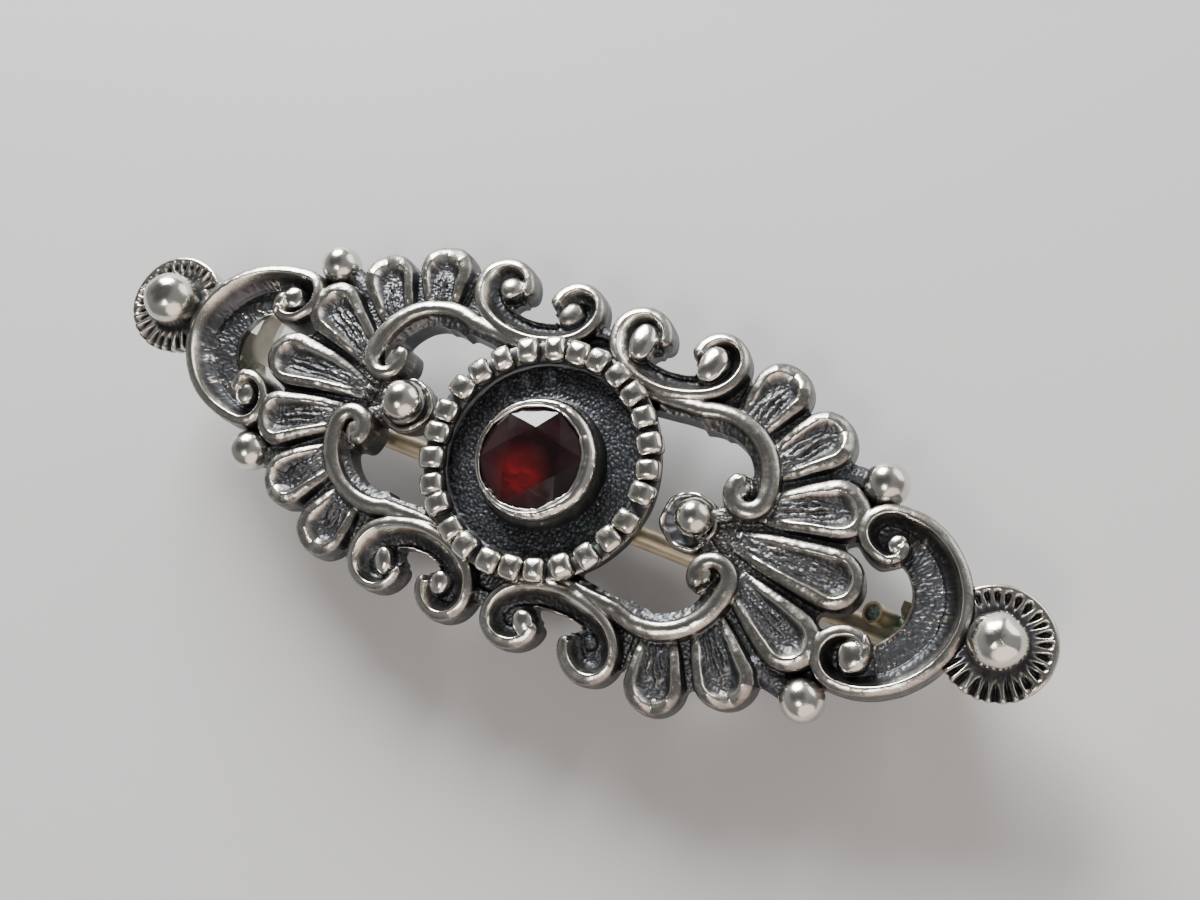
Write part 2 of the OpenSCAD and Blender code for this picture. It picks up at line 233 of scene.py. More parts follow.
# The centre setting: where its ring starts and ends in the openwork, how many beads it has and how far out
RING_IN, RING_OUT = 4.9, 5.6
BEADS, BEAD_AWAY = 27, 5.38

# The opening beside the crescent is an ellipse: its middle, half length and half width
HOLE_X, HOLE_LONG, HOLE_WIDE = 15.9, 2.4, 2.2

# The fan: its hub, how far from it the petals' round ends lie, the angle from petal to petal, and how far
# from the hub the points of the petals lie, from the middle petal to the outermost
FAN_X, FAN_REACH, FAN_STEP = 7.0, 7.65, 24.3
PETAL_ROOT = [3.3, 4.3, 5.2, 5.6]

# Heads of the curls of each quarter, (right or left, far or near side): two of the outer scroll, one of the
# inner scroll, one of the crescent. Columns: x, y, half width, half length, turn, rise over the ground, shine
HEADS = {
    (1, 1): [
        (2.05, 7.2, 0.7, 1.05, 10, 0.86, 1),
        (5.5, 7.2, 0.76, 0.98, 0, 0.94, 1),
        (9.4, 2.25, 0.46, 0.54, 0, 0.74, 1),
        (16.7, 2.75, 0.42, 0.5, -30, 0.55, 0.9),
    ],
    (-1, 1): [
        (2.2, 7.25, 0.66, 0.7, 0, 0.55, 0.7),
        (5.45, 7.45, 0.64, 0.68, 0, 0.8, 0.8),
        (9.4, 2.3, 0.62, 0.6, 0, 0.78, 0.9),
        (16.65, 2.85, 0.6, 0.64, 0, 0.72, 1),
    ],
    (1, -1): [
        (2.55, 7.55, 0.55, 0.7, -10, 0.84, 1),
        (5.6, 7.2, 0.4, 0.5, 0, 0.1, 0.2),
        (9.4, 2.25, 0.46, 0.54, 0, 0.72, 1),
        (16.65, 2.7, 0.7, 0.84, -20, 0.86, 1),
    ],
    (-1, -1): [
        (2.2, 7.3, 0.52, 0.64, 0, 0.7, 1),
        (5.5, 7.3, 0.5, 0.66, 20, 0.74, 1),
        (9.5, 2.2, 0.68, 0.7, 0, 0.8, 0.9),
        (16.6, 2.8, 0.55, 0.6, 0, 0.66, 0.8),
    ],
}


def petal_turned(points, turn):
    """Points of a petal that lies along the fan's middle line, turned about the fan's hub."""
    c, s = math.cos(math.radians(turn)), math.sin(math.radians(turn))
    points = np.asarray(points, float)
    return np.stack([FAN_X + points[:, 0] * c - points[:, 1] * s, points[:, 0] * s + points[:, 1] * c], 1)


class Face:
    """The cast face of half the frame, on a fine grid. For each point it holds how far the point lies inside
    the outline, how high the metal stands above the back, and how polished it is, from 0 to 1."""

    def __init__(self, x, y, half):
        self.x, self.y, self.half = x, y, half
        self.x0, self.y0 = x[0, 0], y[0, 0]
        self.inside = np.full(x.shape, -3.0)
        self.level = ground(y)
        self.top = self.level - 0.2
        self.polish = np.zeros(x.shape)

    def near(self, points, reach):
        """The part of the grid round some points, with its x and y."""
        low, high = np.min(points, 0) - reach, np.max(points, 0) + reach
        rows = slice(max(0, int((low[1] - self.y0) / PITCH)), max(0, int((high[1] - self.y0) / PITCH) + 2))
        cols = slice(max(0, int((low[0] - self.x0) / PITCH)), max(0, int((high[0] - self.x0) / PITCH) + 2))
        spot = (rows, cols)
        return spot, self.x[spot], self.y[spot]

    def plate(self, corners, soft=0.3):
        """Adds a flat area to the outline."""
        corners = np.asarray(corners, float)
        spot, x, y = self.near(corners, 1.2)
        if x.size:
            self.inside[spot] = higher(self.inside[spot], inside_of(corners, x, y), soft)

    def disc(self, cx, cy, radius, soft=0.3):
        spot, x, y = self.near([(cx, cy)], radius + 1.2)
        if x.size:
            self.inside[spot] = higher(self.inside[spot], radius - np.hypot(x - cx, y - cy), soft)

    def fill(self, corners, height):
        """Raises the ground inside a loop."""
        spot, x, y = self.near(corners, 0.3)
        if x.size:
            here = inside_of(np.asarray(corners), x, y) > 0
            raised = np.maximum(self.top[spot], self.level[spot] + height)
            self.top[spot] = np.where(here, raised, self.top[spot])
            self.polish[spot] = np.where(here, 0.42, self.polish[spot])

    def ridge(self, path, outer, inner, rise, up=1, foot=None, soft=0.08, outline=True, shine=1.0,
              shift=0.0, rough=0.0):
        """A polished ridge. `outer`, `inner` and `rise` are widths and height, or (place, value) stops. Its
        outer flank is round. So is its inner one, but where `foot` is given it is a hollow slope down to
        that height over the ground. `shift` is how far the crest lies to the inner side of the path, and
        `rough` how uneven and dull the casting left it."""
        def stops(value, t):
            if np.isscalar(value):
                return np.full(t.shape, float(value))
            return np.interp(t, [v[0] for v in value], [v[1] for v in value])

        path = np.asarray(path, float)
        spot, x, y = self.near(path, 1.9)
        if not x.size:
            return
        far, t, side = along(path, x, y)
        out_w, in_w = stops(outer, t), stops(inner, t)
        signed = far * np.where(side * up > 0, 1, -1) - shift
        within = signed > 0
        width = np.where(within, in_w - shift, out_w + shift)
        reach = np.abs(signed) / width
        crest = self.level[spot] + stops(rise, t)
        round_drop = 0.85 * width * rounded(reach) + 0.5 * smooth_step(0.84, 1.0, reach)
        drop = round_drop
        # Painted highlight and painted shade in the polish: the thin bright line along the crest is partly
        # rubbed wear and partly a painted highlight, and the flanks and the hollow slope are darkened away
        # from it as painted shade over the patina at the foot.
        crest_wear_and_highlight = 0.21 * (1 - smooth_step(0.05, 0.3, reach))
        bright = 0.79 + crest_wear_and_highlight - 0.15 * smooth_step(0.3, 0.8, reach) - 0.32 * smooth_step(0.8, 1.0, reach)
        if foot is not None:
            depth = crest - self.level[spot] - foot
            bent = np.sqrt(reach**2 + 0.01) - 0.1
            slope = depth * (1 - np.clip(1 - bent, 0, 1) ** 1.9)
            drop = np.where(within, slope, round_drop)
            hollow_bright = 0.79 + crest_wear_and_highlight - 0.55 * smooth_step(0.18, 0.6, reach)
            bright = np.where(within, hollow_bright, bright)
        if rough:
            crest = crest + rough * (0.05 * swell(x, y, 0.3, 51) + 0.03 * swell(x, y, 0.13, 52))
            bright = bright * (1 - rough * (0.5 + 0.5 * swell(x, y, 0.18, 53)))
        raised = np.where(reach <= 1, crest - drop, -5)
        if outline:
            beyond = np.where(side * up > 0, in_w - far, out_w - far)
            self.inside[spot] = higher(self.inside[spot], beyond, 0.2)
        before = self.top[spot]
        self.top[spot] = higher(before, raised, soft)
        won = raised > before - 0.03
        self.polish[spot] = np.where(won, bright * shine, self.polish[spot])

    def dome(self, cx, cy, wide, long, turn, rise, shine):
        """The button-like head of a curl."""
        spot, x, y = self.near([(cx, cy)], long + 0.4)
        if not x.size:
            return
        c, s = math.cos(math.radians(turn)), math.sin(math.radians(turn))
        dx, dy = x - cx, y - cy
        lean = 1 + 0.09 * swell(x, y, 0.5, int(90 + 7 * cx))
        reach = np.hypot((dx * c + dy * s) / wide, (dy * c - dx * s) / long) / lean
        drop = 0.7 * wide * rounded(reach) + 0.5 * smooth_step(0.9, 1.0, reach)
        raised = np.where(reach <= 1, self.level[spot] + rise - drop, -5)
        won = raised > self.top[spot] - 0.02
        self.top[spot] = higher(self.top[spot], raised, 0.06)
        bright = (1 - smooth_step(0.88, 1.02, reach)) * shine
        self.polish[spot] = np.where(won, bright, self.polish[spot])

    def bevel(self, path, near_edge, far_edge, up, high, low):
        """The grainy slope from a ridge down to the edge of an opening."""
        spot, x, y = self.near(path, far_edge + 0.2)
        far, t, side = along(path, x, y)
        share = np.clip((far - near_edge) / (far_edge - near_edge), 0, 1)
        ends = smooth_step(0.0, 0.06, t) * (1 - smooth_step(0.93, 1.0, t))
        streak = swell(t * 60, far * 9, 1.0, 31) * 0.035 + swell(x, y, 0.3, 32) * 0.03
        slope = self.level[spot] + high + (low - high) * share**1.2 + streak
        here = (side * up > 0) & (far < far_edge + 0.15) & (far > near_edge * 0.5)
        sloped = self.top[spot] * (1 - ends) + higher(self.top[spot], slope, 0.1) * ends
        self.top[spot] = np.where(here, sloped, self.top[spot])
        worn = (0.42 + 0.1 * swell(t * 45, far * 7, 1.0, 33) + 0.06 * swell(x, y, 0.25, 34)
                + 0.4 * smooth_step(far_edge - 0.14, far_edge - 0.04, far)) * ends
        self.polish[spot] = np.where(here, np.maximum(self.polish[spot], worn), self.polish[spot])


def quarter(face, up):
    """Scrolls, curls and corner of one quarter. `up` is 1 on the far side and -1 on the near side."""
    flip = np.array([1, up])
    heads = HEADS[(face.half, up)]

    def at(points):
        return np.asarray(points, float) * flip

    # Flat areas that the ridges stand on
    face.plate(at(ribbon(OUTER_BOWL, 1.0, 0)))
    for cx in (OUTER_X - 2, OUTER_X + 2):
        face.disc(cx, OUTER_Y * up, 1.15)
    face.plate(at(ribbon(INNER_ARC, 0, 0.86)))
    face.disc(9.9, 2.12 * up, 0.9)
    face.plate(at(ribbon([(2.3, 5.1), (3.5, 4.75), (5.6, 5.0), (8.2, 5.2)], 0.9, 0.52)))
    face.plate(at(ribbon([(8.4, 5.2), (7.3, 6.2), (7.1, 7.4)], 1.0, 0.4)))
    face.plate(at(ribbon([(13.4, 4.7), (15.4, 5.2)], 0.5, 0.6)))
    face.plate(at(ribbon([(13.6, 3.7), (15.8, 3.4)], 1.3, 0.9)))

    # Inner scroll: its slope to the opening, then its ridge
    slope = joined(SHOULDER[4:], arc(INNER_X, INNER_Y, INNER_R, 112, -4))
    face.bevel(at(slope), 0.22, 1.02, -up, 0.55, -0.05)
    face.ridge(at(INNER_SCROLL), 0.45, [(0, 0.3), (0.15, 0.4), (0.7, 0.55), (0.85, 0.5), (1, 0.5)],
               [(0, 0.55), (0.12, 0.66), (0.3, 0.82), (1, 0.86)], up=-up, shift=0.06)
    # Outer scroll with its thin inner lip
    face.ridge(at(OUTER_SCROLL), 0.42,
               [(0, 0.6), (0.12, 0.6), (0.2, 0.66), (0.33, 0.9), (0.42, 0.86), (0.58, 0.86),
                (0.68, 0.84), (0.8, 0.66), (0.88, 0.6), (1, 0.6)],
               [(0, 0.76), (0.2, 0.84), (0.8, 0.84), (1, 0.76)], up=up, foot=0.02, shift=0.04)
    face.ridge(at(INNER_LIP), 0.12, 0.14, 0.3, up=-up, outline=False, shine=0.8)
    for cx, cy, wide, long, turn, rise, shine in heads:
        face.dome(cx, cy * up, wide, long, turn * up, rise, shine)


def petals(face):
    """The seven petals of the fan, each a raised loop, with a few rough rays in its hollow middle. The
    ground between them is raised first."""
    reach = np.hypot(face.x - FAN_X, face.y)
    between = (reach > 3.2) & (reach < FAN_REACH + 0.4) & (face.x > FAN_X + 0.5) & (face.polish < 0.05)
    face.top = np.where(between, face.top + 0.14, face.top)
    face.polish = np.where(between, 0.26, face.polish)
    for i in range(-3, 4):
        turn, root = FAN_STEP * i, PETAL_ROOT[abs(i)]
        droop = 0.3 if abs(i) > 1 else 0.0
        loop = joined([(root, -0.125 * root)], arc(FAN_REACH, 0, 1.0, -100, 100), [(root, 0.125 * root)])
        seed = 40 + i + 10 * face.half
        face.disc(*petal_turned([(FAN_REACH, 0)], turn)[0], 1.0, 0.2)
        face.fill(petal_turned(loop, turn), 0.36)
        face.ridge(petal_turned(loop, turn),
                   [(0, 0.2), (0.1, 0.33), (0.3, 0.46), (0.5, 0.48), (0.7, 0.46), (0.9, 0.33), (1, 0.2)],
                   [(0, 0.36), (0.25, 0.58), (0.42, 0.85), (0.5, 0.98), (0.58, 0.85), (0.75, 0.58),
                    (1, 0.36)],
                   [(0, 0.2), (0.1, 0.5), (0.2, 0.7), (0.38, 0.84), (0.5, 0.84 - droop), (0.62, 0.84),
                    (0.8, 0.7), (0.9, 0.5), (1, 0.2)], foot=0.32, shift=0.09, rough=0.2)
        wobble = np.random.default_rng(seed + 60).uniform(-1, 1, 16)
        for k, (offset, size) in enumerate([(-0.3, 0.46), (0.03, 0.5), (0.33, 0.46)]):
            along_ray = np.linspace(root + 0.1, FAN_REACH + 0.2 - abs(offset) + 0.2 * wobble[k + 11], 8)
            across = offset * along_ray / 7 + 0.1 * wobble[k:k + 8]
            ray = eased(np.stack([along_ray, across], 1), 2)
            size += 0.05 * wobble[k + 5]
            face.ridge(petal_turned(ray, turn), 0.11, 0.11, [(0, 0.2), (0.2, size), (0.8, size), (1, 0.3)],
                       outline=False, shine=0.8 + 0.2 * wobble[k + 3], soft=0.14, rough=0.9)


def hole_reach(x, y):
    """1 on the edge of the opening beside the crescent, less inside it."""
    return np.hypot((x - HOLE_X) / HOLE_LONG, y / HOLE_WIDE)


def crescent(face):
    """The crescent with curled tips: polished ridge round a recess that is scored across."""
    rim = arc(CRESCENT_X, 0, CRESCENT_R, -90, 90)
    face.plate(joined(rim, [(CRESCENT_X, 2.0), (CRESCENT_X, -2.0)]))
    for up in (1, -1):
        face.disc(CRESCENT_X, 2.95 * up, 1.1)
    spot, x, y = face.near([(HOLE_X, 0)], 4)
    gap = 1 - hole_reach(x, y)
    face.inside[spot] = np.minimum(face.inside[spot], np.where(x > 15.4, -gap * 2.2, 9))
    face.level += 0.07 * np.clip(face.x - CRESCENT_X, 0, 4)
    face.top = np.maximum(face.top, face.level - 0.2)
    face.ridge(CRESCENT, 0.42,
               [(0, 0.5), (0.1, 0.46), (0.2, 0.5), (0.3, 0.66), (0.4, 0.76), (0.6, 0.76), (0.7, 0.66),
                (0.8, 0.5), (0.9, 0.46), (1, 0.5)], 0.9, foot=-0.05, shift=0.05)
    lip = (face.x > 16.8) * (1 - smooth_step(0.02, 0.09, hole_reach(face.x, face.y) - 1))
    face.top += 0.07 * lip
    face.polish = np.maximum(face.polish, 0.7 * lip)


def fan_ground(face):
    """The sunk ground of the fan, with the notches between its petals."""
    spot, x, y = face.near([(FAN_X, 0)], 8.2)
    fan = 7.85 - np.hypot(x - FAN_X, y)
    fan = np.minimum(fan, x - 7.8)
    for up in (1, -1):
        fan = np.minimum(fan, np.hypot(x - INNER_X, y - INNER_Y * up) - 2.9)
    face.inside[spot] = higher(face.inside[spot], fan, 0.2)
    face.plate([(8.4, -1.15), (11, -1.15), (11, 1.15), (8.4, 1.15)])


def cast(x, y, half):
    """The whole face of one half."""
    face = Face(x, y, half)
    fan_ground(face)
    for up in (1, -1):
        face.plate([(-1.9, 5 * up), (1.9, 5 * up), (0.5, 7.2 * up), (-0.5, 7.2 * up)])
    face.disc(AXIS_BALL_X, 0, 1.3)
    crescent(face)
    petals(face)
    for up in (1, -1):
        quarter(face, up)
        face.ridge([(8.6, 0.45 * up), (9.5, 1.1 * up)], 0.4, 0.4, 0.25, shine=0.35)
        face.ridge([(13.2, 4.75 * up), (14.0, 5.0 * up), (15.2, 5.3 * up)], 0.55, 0.55, 0.2, shine=0.2)
        face.ridge([(-0.8, 6.9 * up), (0.0, 7.05 * up), (0.8, 6.9 * up)], 0.35, 0.35, 0.3, shine=0.45)
    radius = np.hypot(x, y)
    face.inside = higher(face.inside, RING_OUT - radius, 0.3)
    face.inside = np.minimum(face.inside, radius - RING_IN)
    grain(face)
    face.inside += 0.02 * swell(x, y, 0.8, 13 + half)
    return face


def grain(face):
    """Grain of the casting: deep in the ground and faint on the polished ridges. The crescent's recess is
    scored outwards."""
    x, y, half = face.x, face.y, face.half
    sunk = 1 - smooth_step(0.25, 0.75, face.polish)
    pits = pebbles(x, y, 0.19, 11 + half) * 0.55 + pebbles(x, y, 0.12, 21 + half) * 0.45
    patchy = 0.5 + 0.5 * swell(x, y, 0.45, 16 + half)
    away, angle = np.hypot(x - CRESCENT_X, y), np.arctan2(y, x - CRESCENT_X)
    scored = 1 - np.abs(swell(away * 2.8 + swell(x, y, 0.5, 14), angle * 22, 1.0, 15 + half))
    scored = smooth_step(0.55, 0.97, scored) * (0.3 + 0.7 * patchy)
    in_crescent = smooth_step(16.5, 17.1, x) * (1 - smooth_step(3.6, 3.95, away))
    rough = pits * (1 - 0.55 * in_crescent) + (0.2 + 0.8 * scored) * 0.55 * in_crescent
    face.top += sunk * (rough - 0.5) * 0.12 - sunk * 0.02
    for height, size, seed in ((0.018, 0.9, 17), (0.012, 0.4, 18), (0.004, 0.17, 12)):
        face.top += height * swell(x, y, size, seed + half)
    # Painted glints: the tops of the grains, the scored strokes in the crescent and the grain round the fan's
    # hub are lightened in the polish, partly as rubbed silver and partly as painted highlights.
    glint = smooth_step(0.58, 0.78, rough) * 0.75 * (0.5 + 0.5 * swell(x, y, 0.8, 19 + half))
    glint = np.maximum(glint, in_crescent * smooth_step(0.4, 0.85, scored) * 0.9)
    hub = 1 - smooth_step(3.4, 5.4, np.hypot(x - FAN_X, y))
    glint = np.maximum(glint, hub * smooth_step(0.4, 0.72, rough) * 0.7)
    edge = (1 - smooth_step(0.02, 0.11, face.inside)) * 0.5
    face.polish = np.maximum(face.polish, sunk * np.maximum(glint, edge))


def make_piece(name, points, faces, polish, material, sharp=None, body="front"):
    """One finished piece: its mesh, how polished each point is, its material and its place on the brooch."""
    mesh = bpy.data.meshes.new(name)
    mesh.from_pydata((np.asarray(points) * MM).tolist(), [], faces)
    mesh.validate()
    mesh.polygons.foreach_set("use_smooth", [True] * len(mesh.polygons))
    worn = mesh.attributes.new("polish", "FLOAT", "POINT")
    worn.data.foreach_set("value", np.broadcast_to(np.asarray(polish, np.float32), len(mesh.vertices)).copy())
    if sharp is not None:
        ends = np.empty(len(mesh.edges) * 2, np.int32)
        mesh.edges.foreach_get("vertices", ends)
        mark = sharp[ends.reshape(-1, 2)].all(1)
        edges = mesh.attributes.get("sharp_edge") or mesh.attributes.new("sharp_edge", "BOOLEAN", "EDGE")
        edges.data.foreach_set("value", mark)
    mesh.materials.append(material)
    mesh.update()
    piece = bpy.data.objects.new(name, mesh)
    bpy.context.scene.collection.objects.link(piece)
    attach(piece, body)
    return piece


def kept_cells(inside):
    """Cells of the grid that metal fills, and none that meet only at a corner."""
    solid = inside > -0.6 * PITCH
    cells = solid[:-1, :-1] & solid[1:, :-1] & solid[:-1, 1:] & solid[1:, 1:]
    for _ in range(6):
        a, b, c, d = cells[:-1, :-1], cells[:-1, 1:], cells[1:, :-1], cells[1:, 1:]
        pinched = (a & d & ~b & ~c) | (b & c & ~a & ~d)
        if not pinched.any():
            break
        cells[:-1, :-1] |= pinched
        cells[:-1, 1:] |= pinched
    return cells


def cells_at(cells):
    """How many cells meet at each point of the grid."""
    used = np.zeros((cells.shape[0] + 1, cells.shape[1] + 1), int)
    for rows in (slice(0, -1), slice(1, None)):
        for cols in (slice(0, -1), slice(1, None)):
            used[rows, cols] += cells
    return used


def moved_to_outline(x, y, inside, border):
    """The grid's points, those on the border of its cells moved onto the outline."""
    gy, gx = np.gradient(inside, PITCH)
    steep = np.maximum(np.hypot(gx, gy), 0.6)
    move = np.clip(inside / steep, -0.8 * PITCH, 0.8 * PITCH) * border * (x > 0.5 * PITCH)
    return x - move * gx / steep, y - move * gy / steep


def open_edges(quads, count):
    """Starts and ends of the edges that only one quad has, among `count` points."""
    starts, ends = quads.ravel(), np.roll(quads, -1, axis=1).ravel()
    rim = ~np.isin(starts * count + ends, ends * count + starts)
    return starts[rim], ends[rim]


def widening(drawn, half):
    """How far the walls of the opening beside each crescent lean out towards the back."""
    px, py = drawn[:, 0] * half - HOLE_X, drawn[:, 1]
    beside = 1 - smooth_step(1.1, 1.25, np.hypot(px / HOLE_LONG, py / HOLE_WIDE))
    widen = 0.65 * smooth_step(0.4, 1.4, px) * beside
    return np.stack([px * half, py], 1) * (widen / np.hypot(px, py))[:, None]


def flat_back(outline, spans, cells, half):
    """Flat tiles between the lowest points of the walls, wherever the grid has metal."""
    points, _, tiles, origin, _, _ = delaunay_2d_cdt(outline.tolist(), spans.tolist(), [], 0, 1e-7)
    back = []
    for tile in tiles:
        mid = np.mean([points[i] for i in tile], 0)
        col, row = int(mid[0] * half / PITCH), int((mid[1] + GRID_Y) / PITCH)
        ids = [origin[i][0] if origin[i] else -1 for i in tile]
        on_grid = 0 <= row < cells.shape[0] and 0 <= col < cells.shape[1]
        if min(ids) >= 0 and on_grid and cells[row, col]:
            back.append(ids[::-1])
    return back


def openwork(half, material):
    """Cast openwork of one half: the face, its walls down to the back, and the flat back."""
    x, y = np.meshgrid(np.arange(0, GRID_X, PITCH), np.arange(-GRID_Y, GRID_Y + PITCH / 2, PITCH))
    inside = cast(x, y, half).inside
    cells = kept_cells(inside)
    used = cells_at(cells)
    x, y = moved_to_outline(x, y, inside, (used > 0) & (used < 4))
    face = cast(x, y, half)

    # The face
    taken = used > 0
    number = np.full(x.shape, -1)
    number[taken] = np.arange(taken.sum())
    a, b = number[:-1, :-1][cells], number[:-1, 1:][cells]
    c, d = number[1:, 1:][cells], number[1:, :-1][cells]
    quads = np.stack([a, b, c, d] if half > 0 else [d, c, b, a], 1)
    drawn = np.stack([x[taken] * half, y[taken]], 1)
    wx, wy = hand_made(drawn[:, 0], drawn[:, 1])
    top = np.stack([wx, wy, BACK + face.top[taken]], 1)

    # The walls, with a shoulder a little below the face
    count = len(top)
    rim_from, rim_to = open_edges(quads, count)
    rim = np.unique(rim_from)
    rims = len(rim)
    lowest = count + rims
    shoulder_number = np.full(count, -1)
    shoulder_number[rim] = count + np.arange(rims)
    low_number = shoulder_number + rims
    shoulder, low = top[rim].copy(), top[rim].copy()
    shoulder[:, 2] = np.maximum(BACK + 0.02, shoulder[:, 2] - 0.13)
    low[:, 2] = BACK
    away = widening(drawn[rim], half)
    shoulder[:, :2] += 0.3 * away
    low[:, :2] += away
    shoulder_from, shoulder_to = shoulder_number[rim_from], shoulder_number[rim_to]
    low_from, low_to = low_number[rim_from], low_number[rim_to]
    walls = np.concatenate([
        np.stack([rim_to, rim_from, shoulder_from, shoulder_to], 1),
        np.stack([shoulder_to, shoulder_from, low_from, low_to], 1),
    ])

    # The back
    tiles = flat_back(drawn[rim], np.stack([low_from, low_to], 1) - lowest, cells, half)
    back = [[lowest + i for i in tile] for tile in tiles]
    everything = np.concatenate([top, shoulder, low])
    polish = np.concatenate([face.polish[taken], np.full(rims, 0.42), np.full(rims, 0.1)])
    sharp = np.zeros(len(everything), bool)
    sharp[rim] = True
    sharp[lowest:] = True
    name = "openwork_right" if half > 0 else "openwork_left"
    return make_piece(name, everything, quads.tolist() + walls.tolist() + back, polish, material,
                      sharp)


# Turned pieces, balls and the stone
def turned(profile, sides, wobble=0.0, seed=0, at=(0, 0)):
    """A piece turned about Z. `profile` is rows of radius, height above the back and polish; a row with no
    radius closes an end. `wobble` is how far the metal is out of true."""
    rng = np.random.default_rng(seed)
    phase, amount = rng.uniform(0, 6.28, 6), rng.uniform(-1, 1, 6)
    points, faces, polish, rows = [], [], [], []
    turn = np.linspace(0, 2 * math.pi, sides, endpoint=False)
    uneven = sum(amount[k] * np.cos((k + 2) * turn + phase[k]) for k in range(6)) / 2
    for radius, height, shine in profile:
        first = len(points)
        if radius <= 0:
            points.append((at[0], at[1], BACK + height))
            polish.append(shine)
            rows.append([first])
            continue
        for k, a in enumerate(turn):
            calm = min(1.0, radius)
            r = radius + wobble * calm * uneven[k]
            z = height + wobble * 0.7 * calm * uneven[(k + sides // 3) % sides]
            points.append((at[0] + r * math.cos(a), at[1] + r * math.sin(a), BACK + z))
            polish.append(shine)
        rows.append(list(range(first, first + sides)))
    for one, two in zip(rows[:-1], rows[1:]):
        for k in range(sides):
            n = (k + 1) % sides
            if len(one) == 1:
                faces.append((one[0], two[n], two[k]))
            elif len(two) == 1:
                faces.append((one[k], one[n], two[0]))
            else:
                faces.append((one[k], one[n], two[n], two[k]))
    return np.array(points), faces, np.array(polish)


def ball(name, x, y, middle, radius, material, dark_below, seed):
    """A polished ball, slightly out of true, its foot in the black."""
    rows = []
    for k in range(21):
        tilt = -math.pi / 2 + math.pi * k / 20
        height = middle + radius * math.sin(tilt)
        rows.append((radius * math.cos(tilt) if 0 < k < 20 else 0, height,
                     float(smooth_step(dark_below - 0.1, dark_below + 0.35, height))))
    x, y = hand_made(x, y)
    points, faces, polish = turned(rows, 40, 0.0, seed, (float(x), float(y)))
    dent = swell(points[:, 0] + points[:, 2], points[:, 1], 0.9, 70 + seed) * 0.02
    middle_point = np.array([float(x), float(y), BACK + middle])
    points = points + (points - middle_point) * dent[:, None]
    return make_piece(name, points, faces, polish, material)


def ring_beads(material):
    """Pillow-shaped beads round the centre setting, each a little different."""
    rng = np.random.default_rng(5)
    points, faces, polish = [], [], []
    rings, sides = 11, 20
    for bead in range(BEADS):
        turn = 2 * math.pi * (bead + 0.12 * rng.uniform(-1, 1)) / BEADS + 0.03
        long, wide = 0.65 * rng.uniform(0.95, 1.03), 0.545 * rng.uniform(0.94, 1.04)
        lean, rise = rng.uniform(-0.12, 0.12), rng.uniform(-0.05, 0.04)
        away = BEAD_AWAY + rng.uniform(-0.03, 0.03)
        first = len(points)
        for i in range(rings + 1):
            tilt = -math.pi / 2 + math.pi * i / rings
            for k in range(sides):
                a = 2 * math.pi * k / sides
                ca, sa = math.cos(a), math.sin(a)
                ct, st = math.cos(tilt), math.sin(tilt)
                spread = abs(ct) ** 0.6
                px = long * spread * math.copysign(abs(ca) ** 0.5, ca)
                py = wide * spread * math.copysign(abs(sa) ** 0.5, sa)
                pz = 0.5 * math.copysign(abs(st) ** 0.62, st) + 0.12 * (1 - (px / long) ** 2)
                qx = px * math.cos(lean) - py * math.sin(lean) + away
                qy = px * math.sin(lean) + py * math.cos(lean)
                points.append((
                    qx * math.cos(turn) - qy * math.sin(turn),
                    qx * math.sin(turn) + qy * math.cos(turn),
                    BACK + 1.96 + rise + pz,
                ))
                edge = smooth_step(0.9, 1.0, max(abs(px) / long, abs(py) / wide))
                polish.append(float(smooth_step(-0.25, 0.12, pz) * (1 - 0.25 * edge)))
        for i in range(rings):
            for k in range(sides):
                a, b = first + i * sides + k, first + i * sides + (k + 1) % sides
                faces.append((a, b, b + sides, a + sides))
    return make_piece("ring_beads", points, faces, polish, material)


def centre_floor(material):
    """The ring's wall and the sunk, stippled floor round the bezel."""
    profile = [(4.94, 0.0), (5.3, 0.0), (5.45, 0.3), (5.72, 1.1), (5.9, 1.62), (5.93, 1.74), (5.86, 1.8),
               (5.6, 1.8), (5.2, 1.8), (4.99, 1.7), (4.94, 1.5)]
    rows = [(r, z, 0.6 if r > 5.85 else 0.1) for r, z in profile]
    for k in range(1, 38):
        fillet = 0.1 * max(0, 1 - k / 4) ** 2 + 0.08 * max(0, (k - 31) / 6) ** 2
        rows.append((4.94 - 0.05 * k, 1.32 + fillet, 0.0))
    points, faces, polish = turned(rows, 420, 0.0, 3)
    radius = np.hypot(points[:, 0], points[:, 1])
    floor = (1 - smooth_step(4.7, 4.86, radius)) * smooth_step(3.05, 3.2, radius)
    x, y = points[:, 0], points[:, 1]
    grain = pebbles(x, y, 0.2, 81) * 0.5 + pebbles(x, y, 0.12, 82) * 0.5
    points[:, 2] += floor * ((grain - 0.5) * 0.09 + 0.03 * swell(x, y, 0.9, 83))
    # The tops of the floor's grains are lightened in the polish, partly as rubbed silver and partly as
    # painted glints.
    polish = np.maximum(polish - 0.3 * floor, floor * (1.15 * smooth_step(0.66, 0.8, grain) - 0.3))
    return make_piece("ring_and_floor", points, faces, polish, material)


